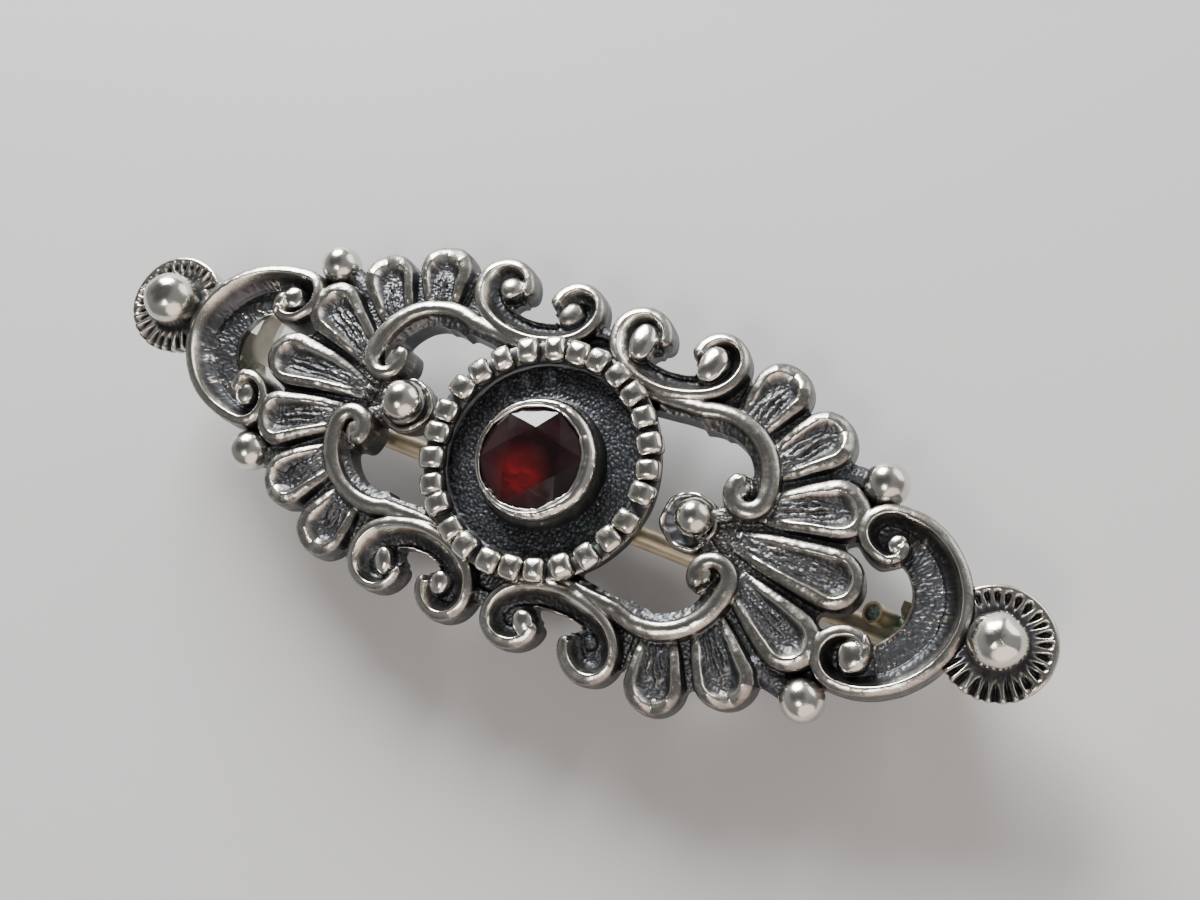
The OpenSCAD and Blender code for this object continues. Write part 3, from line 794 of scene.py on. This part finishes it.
def bezel(material):
    """Burnished collar round the stone, its rim rolled over the girdle by hand."""
    outside = [(3.3, 1.2, 0.1), (3.24, 1.38, 0.2), (3.15, 1.75, 0.5), (3.08, 2.15, 0.8), (3.01, 2.45, 0.95)]
    rolled = [(2.93, 2.66, 1.0), (2.83, 2.79, 1.0), (2.74, 2.83, 0.95), (2.66, 2.81, 0.6), (2.62, 2.77, 0.4),
              (2.58, 2.79, 0.8), (2.54, 2.82, 1.0), (2.5, 2.79, 1.0)]
    seat = [(2.48, 2.66, 0.5), (2.53, 2.45, 0.2), (2.56, 2.2, 0.1), (2.4, 2.0, 0.1), (1.2, 1.1, 0.1),
            (0.0, 0.35, 0.1)]
    rows = outside + rolled + seat
    points, faces, polish = turned(rows, 200, 0.022, 9)
    angle, radius = np.arctan2(points[:, 1], points[:, 0]), np.hypot(points[:, 0], points[:, 1])
    opening = 1 - smooth_step(2.58, 2.95, radius)
    points[:, 0] += 0.03 - 0.17 * opening
    points[:, 1] += -0.18 - 0.07 * opening
    rim = smooth_step(BACK + 2.4, BACK + 2.8, points[:, 2])
    jagged = swell(angle * 5, angle * 0 + 1, 1.0, 91) + 0.5 * swell(angle * 14, angle * 0, 1.0, 92)
    points[:, 2] += rim * 0.035 * jagged
    pull = 1 - 0.018 * jagged * (np.abs(radius - 2.52) < 0.07)
    points[:, 0] *= pull
    points[:, 1] *= pull
    return make_piece("bezel", points, faces, polish, material)


def stone(material):
    """Six-sided table, six kite facets at its corners and six triangles between them, girdle and pavilion."""
    turn, girdle_r, girdle_z, culet_z = 51, 2.55, 2.725, 0.55
    table_turn, table_r, table_z = 46.5, 1.5, 3.04
    chord = girdle_r * math.cos(math.radians(30))
    corner_z = table_z - (table_z - girdle_z) * (girdle_r - table_r) / (chord - table_r)

    def rim(radius, heights, start, count):
        corners = []
        for i in range(count):
            a = math.radians(start + 360 * i / count)
            corners.append((radius * math.cos(a), radius * math.sin(a), BACK + heights[i % 2]))
        return corners

    table = [(x + 0.17, y - 0.05, z) for x, y, z in rim(table_r, (table_z, table_z), table_turn, 6)]
    points = table + rim(girdle_r, (corner_z, girdle_z), turn, 12)
    points += rim(girdle_r, (corner_z - 0.1, corner_z - 0.1), turn, 12) + [(0, 0, BACK + culet_z)]
    faces = [tuple(range(6))]
    for i in range(6):
        t, u = i, (i + 1) % 6
        g, h, before = 6 + 2 * i, 7 + 2 * i, 6 + (2 * i - 1) % 12
        faces += [(t, before, g, h), (t, h, u)]
    for i in range(12):
        n = (i + 1) % 12
        faces += [(18 + i, 18 + n, 6 + n, 6 + i), (18 + n, 18 + i, 30)]
    points = np.array(points)
    points[:, 0] += -0.13
    points[:, 1] += -0.24
    piece = make_piece("garnet_cut", points, faces, 1.0, material)
    piece.data.polygons.foreach_set("use_smooth", [False] * len(piece.data.polygons))
    return piece


def rosette(side, silver):
    """Fluted disc with a smooth rim."""
    name = "rosette_right" if side > 0 else "rosette_left"
    size = 2.5 if side > 0 else 2.64
    flutes, sides = 28, 28 * 14
    at = hand_made(ROSETTE_X * side, 0.0)
    profile = [(0, 0.95), (0.72, 0.95), (0.9, 1.05), (0.96, 1.3), (0.985, 1.6), (1, 1.9), (1, 2.08),
               (0.99, 2.2), (0.965, 2.28)]
    profile += [(0.93 - 0.04 * k, 2.31 - 0.01 * k) for k in range(8)]
    profile += [(0.6, 2.22), (0.55, 2.2), (0.45, 2.18), (0, 2.15)]
    rows = [(r * size, z, 0.85) for r, z in profile]
    points, faces, polish = turned(rows, sides, 0.02, 60 + side, at)
    dx, dy = points[:, 0] - at[0], points[:, 1] - at[1]
    radius, angle = np.hypot(dx, dy) / size, np.arctan2(dy, dx)
    place = angle * flutes / (2 * math.pi)
    place += 0.18 * swell(angle * 3, angle * 0, 1.0, 66 + side)
    uneven = swell(np.round(place) * 3.7, angle * 0, 1.0, 62 + side)
    wave = np.abs(place % 1 - 0.5) * 2
    near_side = smooth_step(-0.2, 0.75, -np.sin(angle + 0.5 * side))
    width = 0.5 + 0.36 * smooth_step(0.6, 0.9, radius) + 0.12 * uneven
    notch = np.clip(1 - wave / width, 0, 1)
    outward = 1 - smooth_step(0.83 + 0.03 * uneven, 0.89 + 0.03 * uneven, radius)
    notch *= smooth_step(0.6 + 0.05 * uneven, 0.74, radius) * np.maximum(outward, near_side)
    upper = points[:, 2] > BACK + 2.2
    points[:, 2] -= upper * notch * 0.32
    pull = 1 - 0.035 * notch * near_side * (~upper)
    points[:, 0], points[:, 1] = at[0] + dx * pull, at[1] + dy * pull
    polish = polish * (0.5 + 0.5 * smooth_step(0.6, 0.72, radius)) - 0.7 * notch + 0.12 * uneven
    polish = np.clip(polish, 0, 1)
    from_crescent = np.hypot(points[:, 0] - CRESCENT_X * side, points[:, 1])
    under_ridge = 1 - smooth_step(4.32, 4.56, from_crescent)
    points[:, 2] = np.minimum(points[:, 2], BACK + 2.6 - 1.2 * under_ridge)
    return make_piece(name, points, faces, polish, silver)


def rosette_dome(side, silver):
    """Polished dome on its collar in the middle of a rosette."""
    name = "dome_right" if side > 0 else "dome_left"
    scale = 0.92 if side > 0 else 1.04
    at = hand_made(ROSETTE_X * side, 0.0)
    profile = [(1.4, 2.05, 0.0), (1.38, 2.2, 0.1), (1.37, 2.45, 0.3), (1.36, 2.7, 0.55)]
    for k in range(22):
        tilt = math.radians(4 + 86 * k / 21)
        profile.append((1.35 * math.cos(tilt) if k < 21 else 0, 2.74 + 1.3 * math.sin(tilt),
                        float(0.6 + 0.4 * smooth_step(0.1, 0.4, math.sin(tilt)))))
    rows = [(r * scale, z, p) for r, z, p in profile]
    points, faces, polish = turned(rows, 64, 0.03, 64 + side, at)
    dent = swell(points[:, 0], points[:, 1], 0.8, 68 + side) * 0.03
    points[:, 2] += dent * smooth_step(BACK + 2.3, BACK + 3, points[:, 2])
    return make_piece(name, points, faces, polish, silver)


def axis_ball(side, silver):
    """The ball beside the ring and the cup that it sits in."""
    name = "right" if side > 0 else "left"
    radius, off_x, off_y, trough = (0.92, 0.25, 0.17, 1.34) if side > 0 else (1.12, -0.04, 0.02, 1.46)
    at = hand_made(AXIS_BALL_X * side, 0.0)
    wall = [(1.2, 0.0, 0.3), (1.34, 0.4, 0.3), (1.42, 0.9, 0.4), (1.42, 1.2, 0.55), (1.37, 1.42, 0.85)]
    lip = [(1.28, 1.5, 0.95), (1.18, 1.47, 0.75), (1.09, 0.5 * trough + 0.72, 0.35)]
    rows = wall + lip + [(1.0, trough, 0.1), (0.7, trough, 0.0), (0, trough, 0.0)]
    points, faces, polish = turned(rows, 96, 0.06, 30 + side, at)
    uneven = swell(points[:, 0], points[:, 1], 0.35, 38 + side)
    points[:, 2] += 0.07 * uneven * smooth_step(BACK + 0.9, BACK + 1.3, points[:, 2])
    cup = make_piece("ball_cup_" + name, points, faces, polish, silver)
    x = AXIS_BALL_X * side + off_x
    return cup, ball("axis_ball_" + name, x, off_y, 1.86, radius, silver, 1.5, 5 + side)


def solder(material):
    """Rough pool of solder between the catch's foot and the near curl."""
    step = 0.08
    x, y = np.meshgrid(np.arange(-19.5, -16.9, step), np.arange(-2.45, -0.55, step))
    inside = 1 - np.hypot((x + 18.25) / 1.22, (y + 1.4) / 0.86) + 0.1 * swell(x, y, 0.6, 121)
    lumps = 0.09 * swell(x, y, 0.32, 122) + 0.05 * swell(x, y, 0.15, 123)
    height = BACK - 0.3 + 0.25 * smooth_step(0.0, 0.4, inside) + lumps
    rows, cols = x.shape
    used = inside > 0
    number = np.where(used, np.cumsum(used).reshape(used.shape) - 1, -1)
    count = int(used.sum())
    points = np.concatenate([np.stack([x[used], y[used], height[used]], 1),
                             np.stack([x[used], y[used], np.full(count, BACK - 0.42)], 1)])
    faces, sides = [], {}
    for i in range(rows - 1):
        for j in range(cols - 1):
            tile = [int(n) for n in (number[i, j], number[i, j + 1], number[i + 1, j + 1], number[i + 1, j])]
            if min(tile) < 0:
                continue
            faces += [tile, [n + count for n in tile[::-1]]]
            for a, b in zip(tile, tile[1:] + tile[:1]):
                sides[(a, b)] = True
    faces += [[b, a, a + count, b + count] for a, b in sides if (b, a) not in sides]
    return make_piece("catch_solder", points, faces, 1.0, material)


def tail_crust(material):
    """Rough green crust in the open end of the pin's tail, a little below its rim. `low`, `edge` and `high`
    are measured along the tail from `base`."""
    sides, lean, bore_r = 40, math.radians(31), 0.38
    low, edge, high = 2.1, 2.6, 2.66
    base, out = np.array([18.211, -0.4, 1.026]), np.array([-math.sin(lean), 0.0, math.cos(lean)])
    across, over = np.array([math.cos(lean), 0.0, math.sin(lean)]), np.array([0.0, 1.0, 0.0])
    turn = np.linspace(0, 2 * math.pi, sides, endpoint=False)
    rings = [(bore_r, low), (bore_r, edge)] + [(bore_r - 0.04 * k, high) for k in range(1, 9)]
    points, faces = [base + low * out], [(0, 1 + (k + 1) % sides, 1 + k) for k in range(sides)]
    for radius, height in rings:
        x, y = radius * np.cos(turn), radius * np.sin(turn)
        lumps = (0.09 * swell(x, y, 0.2, 131) + 0.04 * swell(x, y, 0.08, 132)) * (height > low)
        points += list(base + np.outer(x, across) + np.outer(y, over) + np.outer(height + lumps, out))
    points.append(base + high * out)
    for i in range(len(rings) - 1):
        one = 1 + i * sides
        for k in range(sides):
            n = (k + 1) % sides
            faces.append((one + k, one + n, one + sides + n, one + sides + k))
    last = len(points) - 1
    faces += [(last - sides + k, last - sides + (k + 1) % sides, last) for k in range(sides)]
    return make_piece("tail_crust", points, faces, 1.0, material, body="pin")


# Finishes
class Varying:
    """A number that varies over a surface. Sums and products of it become nodes."""

    def __init__(self, finish, socket):
        self.finish, self.socket = finish, socket

    def _maths(self, operation, one, two):
        return self.finish.add("ShaderNodeMath", {"operation": operation}, {0: one, 1: two}).get(0)

    def __add__(self, other):
        return self._maths("ADD", self, other)

    def __radd__(self, other):
        return self._maths("ADD", other, self)

    def __sub__(self, other):
        return self._maths("SUBTRACT", self, other)

    def __rsub__(self, other):
        return self._maths("SUBTRACT", other, self)

    def __mul__(self, other):
        return self._maths("MULTIPLY", self, other)

    def __rmul__(self, other):
        return self._maths("MULTIPLY", other, self)

    def between(self, low, high):
        """0 below `low`, 1 above `high`, smooth between."""
        settings = {"interpolation_type": "SMOOTHSTEP"}
        limits = {0: self, 1: low, 2: high, 3: 0.0, 4: 1.0}
        return self.finish.add("ShaderNodeMapRange", settings, limits).get(0)


class Added:
    """A node that a finish has added, for taking its outputs."""

    def __init__(self, finish, node):
        self.finish, self.node = finish, node

    def get(self, output):
        return Varying(self.finish, self.node.outputs[output])


class Nodes:
    """A node tree that calls add to."""

    def __init__(self, tree):
        self.tree = tree

    def add(self, kind, settings=None, inputs=None):
        node = self.tree.nodes.new(kind)
        for name, value in (settings or {}).items():
            setattr(node, name, value)
        for name, value in (inputs or {}).items():
            self.feed(node.inputs[name], value)
        return Added(self, node)

    def feed(self, socket, value):
        if isinstance(value, Varying):
            self.tree.links.new(value.socket, socket)
        elif isinstance(value, tuple) and len(value) == 3 and len(socket.default_value) == 4:
            socket.default_value = (*value, 1)
        else:
            socket.default_value = value


class Finish(Nodes):
    """A material whose nodes are added by calls."""

    def __init__(self, name):
        self.material = bpy.data.materials.new(name)
        self.material.use_nodes = True
        super().__init__(self.material.node_tree)
        self.shader = self.tree.nodes["Principled BSDF"]

    def noise(self, size, detail=2.0, rough=0.5, stretch=None):
        """Noise with features about `size` mm across, near 0.5 on average."""
        place = self.add("ShaderNodeTexCoord").get("Object")
        if stretch:
            place = self.add("ShaderNodeMapping", {}, {"Vector": place, "Scale": stretch}).get(0)
        sockets = {"Vector": place, "Scale": 1 / (size * MM), "Detail": detail, "Roughness": rough}
        return self.add("ShaderNodeTexNoise", {}, sockets).get(0)

    def mix(self, share, one, two):
        """Colour from `one` at 0 to `two` at 1."""
        return self.add("ShaderNodeMix", {"data_type": "RGBA"}, {0: share, 6: one, 7: two}).get(2)

    def near_spot(self, x, y, z, reach):
        """1 at a place on the brooch, falling to 0 at `reach` mm from it."""
        place = self.add("ShaderNodeTexCoord").get("Object")
        spot = (x * MM, y * MM, z * MM)
        far = self.add("ShaderNodeVectorMath", {"operation": "DISTANCE"}, {0: place, 1: spot})
        return 1 - far.get("Value").between(0.2 * reach * MM, reach * MM)

    def bump(self, height, strength, distance):
        sockets = {"Strength": strength, "Distance": distance * MM, "Height": height}
        return self.add("ShaderNodeBump", {}, sockets).get(0)

    def set(self, **sockets):
        for name, value in sockets.items():
            self.feed(self.shader.inputs[name.replace("_", " ").title().replace("Ior", "IOR")], value)


def oxidised_silver():
    """Worn silver over black: polished where it stands out, blackened and grainy where it is sunk."""
    f = Finish("oxidised silver")
    polish = f.add("ShaderNodeAttribute", {"attribute_name": "polish"}).get("Fac")
    fine, coarse = f.noise(0.09, 3), f.noise(0.5, 3)
    worn = (polish + (fine - 0.5) * 0.3 + (coarse - 0.5) * 0.3).between(0.15, 1.05)
    black = f.mix(coarse, (0.064, 0.067, 0.073), (0.13, 0.133, 0.141))
    black = f.mix(polish.between(-0.3, 0.0), (0.036, 0.039, 0.045), black)
    warm = f.mix(worn.between(0.1, 0.75), black, (0.32, 0.30, 0.265))
    bright = f.mix(f.noise(1.8, 2).between(0.35, 0.7), (0.78, 0.75, 0.68), (0.58, 0.55, 0.495))
    colour = f.mix(worn.between(0.55, 1.0), warm, bright)
    green = f.near_spot(4.1, -2.7, 5.2, 1.6) * f.noise(0.25, 3).between(0.45, 0.65)
    green = green * (1 - polish.between(0.2, 0.6))
    colour = f.mix(green * 0.7, colour, (0.03, 0.09, 0.055))
    f.set(base_color=colour, metallic=1.0, roughness=0.45 - worn * 0.27 + (fine - 0.5) * 0.14,
          normal=f.bump(fine * 0.7 + f.noise(0.03, 2) * 0.3, 0.3, 0.02))
    return f.material


def plain_silver():
    """Dulled silver sheet of the hinge and the catch, painted pale and only partly metallic as painted light,
    so the catch looks lit in the frame's shade.
    """
    f = Finish("plain silver")
    patch, fine = f.noise(0.8, 4), f.noise(0.06, 2)
    # Painted light: the near-white colour and the low metallic below make the catch look lit where it lies in
    # the shade of the frame.
    colour = f.mix(patch.between(0.35, 0.65), (0.93, 0.90, 0.78), (0.84, 0.81, 0.68))
    green = f.near_spot(18.2, -0.6, 2.6, 1.6) * f.noise(0.3, 3).between(0.4, 0.6)
    colour = f.mix(green * 0.8, colour, (0.08, 0.2, 0.13))
    stained = f.near_spot(-18.2, -1.7, 3.6, 1.3) * f.noise(0.35, 4).between(0.42, 0.58)
    colour = f.mix(stained * 0.75, colour, (0.42, 0.44, 0.22))
    tarnish = f.near_spot(18.6, 0.0, 2.6, 3.0).between(0.0, 0.3)
    colour = f.mix(tarnish, colour, (0.21, 0.18, 0.12))
    f.set(base_color=colour, metallic=0.3 - green * 0.3, roughness=0.26 + patch * 0.1,
          normal=f.bump(fine + patch * 3.0, 0.5, 0.04))
    return f.material


def nickel_brass():
    """Tan wire of the pin, with long scratches and some green at the hinge."""
    f = Finish("nickel brass wire")
    streak, patch = f.noise(0.25, 3, 0.5, (0.15, 1.0, 1.0)), f.noise(0.9, 4)
    colour = f.mix(patch.between(0.3, 0.7), (0.78, 0.67, 0.48), (0.58, 0.48, 0.32))
    colour = f.mix(streak.between(0.55, 0.75) * 0.5, colour, (0.34, 0.28, 0.20))
    green = f.near_spot(17.85, -0.75, 2.0, 1.5) * f.noise(0.25, 3).between(0.25, 0.4)
    crust = f.add("ShaderNodeAttribute", {"attribute_name": "polish"}).get("Fac")
    colour = f.mix(green, colour, (0.2, 0.42, 0.31))
    verdigris = f.mix(f.noise(0.15, 3).between(0.4, 0.6), (0.13, 0.16, 0.15), (0.28, 0.38, 0.33))
    colour = f.mix(crust, colour, verdigris)
    f.set(base_color=colour, metallic=0.85 - green * 0.8 - crust * 0.85,
          roughness=0.36 + streak * 0.15 + crust * 0.3, normal=f.bump(streak, 0.3, 0.02))
    return f.material


def cut_garnet():
    """Dark red stone with painted light: a warmer patch painted where light would come up through it, and
    bright red painted sparks.
    """
    f = Finish("garnet")
    # Painted light: the glow and the sparks lighten the stone's colour where light would shine up through it.
    glow = f.near_spot(-0.25, -1.2, 6.4, 1.9) * (0.25 + f.noise(0.7, 2) * 0.75)
    spark_streaks = f.noise(0.6, 1, 0.5, (1.0, 1.5, 1.0)).between(0.45, 0.75)
    spark = f.near_spot(-0.1, -1.3, 6.7, 1.3) * spark_streaks * 0.5
    veil = f.noise(1.6, 3).between(0.35, 0.65)
    dark = f.mix(veil, (0.010, 0.003, 0.004), (0.026, 0.009, 0.010))
    red = f.mix(spark, f.mix(glow, dark, (0.14, 0.008, 0.010)), (0.30, 0.012, 0.016))
    f.set(base_color=red, roughness=f.noise(1.1, 2) * 0.3 - 0.03, ior=1.55, transmission_weight=0.35)
    return f.material


def pale_floor():
    f = Finish("pale floor")
    f.set(base_color=f.mix(f.noise(30, 2), (0.56, 0.56, 0.56), (0.59, 0.59, 0.585)), roughness=0.65)
    return f.material


# Camera, lights and floor
def photographers_view():
    camera = bpy.data.cameras.new("camera")
    camera.lens, camera.sensor_width = 37.553, 36
    camera.clip_start, camera.clip_end = 0.002, 5
    view = bpy.data.objects.new("camera", camera)
    view.location = (0.0215063, -0.0068897, 0.0607044)
    view.rotation_euler = [math.radians(a) for a in (15.4157, 13.8126, 25.3384)]
    bpy.context.scene.collection.objects.link(view)
    bpy.context.scene.camera = view


def soft_light(name, place, size, power, colour=(1, 1, 1), aim=(0, 0, 5)):
    """A round soft box at a place in mm, facing the brooch."""
    light = bpy.data.lights.new(name, "AREA")
    light.shape, light.size, light.energy, light.color = "DISK", size * MM, power, colour
    lamp = bpy.data.objects.new(name, light)
    away = np.array(place, float) - aim
    lamp.location = [p * MM for p in place]
    lamp.rotation_euler = Vector(away).to_track_quat("Z", "Y").to_euler()
    bpy.context.scene.collection.objects.link(lamp)


def studio():
    world = bpy.data.worlds.new("studio")
    world.use_nodes = True
    room = Nodes(world.node_tree)
    way = room.add("ShaderNodeTexCoord").get("Generated")
    dot = {"operation": "DOT_PRODUCT"}
    ceiling = room.add("ShaderNodeVectorMath", dot, {0: way, 1: (-0.367, 0.118, 0.922)}).get("Value")
    side = room.add("ShaderNodeVectorMath", dot, {0: way, 1: (-0.5, 0.86, 0.0)}).get("Value")
    share = (1 - ceiling.between(0.62, 0.93)) * (0.62 + side * 0.38)
    back = world.node_tree.nodes["Background"]
    room.feed(back.inputs[0], (0.96, 0.98, 1.0))
    room.feed(back.inputs[1], 0.1 + share * 0.36)
    bpy.context.scene.world = world
    soft_light("window", (-182, 227, 150), 200, 2.9)
    soft_light("far_card", (170, 290, 50), 300, 0.6)
    soft_light("top_card", (20, -160, 300), 100, 0.3, (1.0, 0.95, 0.9))
    soft_light("warm_card", (170, -150, 90), 320, 0.4, (1.0, 0.80, 0.72))
    mesh = bpy.data.meshes.new("floor")
    corners = [(-1.5, -1.5, 0), (1.5, -1.5, 0), (1.5, 1.5, 0), (-1.5, 1.5, 0)]
    mesh.from_pydata(corners, [], [(0, 1, 2, 3)])
    mesh.materials.append(pale_floor())
    floor = bpy.data.objects.new("floor", mesh)
    bpy.context.scene.collection.objects.link(floor)


def brooch():
    silver, sheet, wire = oxidised_silver(), plain_silver(), nickel_brass()
    pieces = [openwork(1, silver), openwork(-1, silver)]
    pieces += [ring_beads(silver), centre_floor(silver), bezel(silver)]
    for side in (1, -1):
        pieces += [rosette(side, silver), rosette_dome(side, silver)]
        pieces += axis_ball(side, silver)
        for up in (1, -1):
            name = "corner_ball_" + ("right" if side > 0 else "left") + ("_far" if up > 0 else "_near")
            x, y, seed = CORNER_X * side, CORNER_Y * up, 20 + side + 3 * up
            pieces.append(ball(name, x, y, 1.06, 1.05, silver, 0.5, seed))
    gem = stone(cut_garnet())
    solder(sheet)
    tail_crust(wire)
    for piece in pieces:
        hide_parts("frame")
    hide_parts("garnet")
    finishes = {"hinge_bracket": sheet, "hinge_rivet": sheet, "catch": sheet, "pin_stem": wire}
    for node, material in finishes.items():
        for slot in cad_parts[node].material_slots:
            slot.material = material


photographers_view()
studio()
brooch()
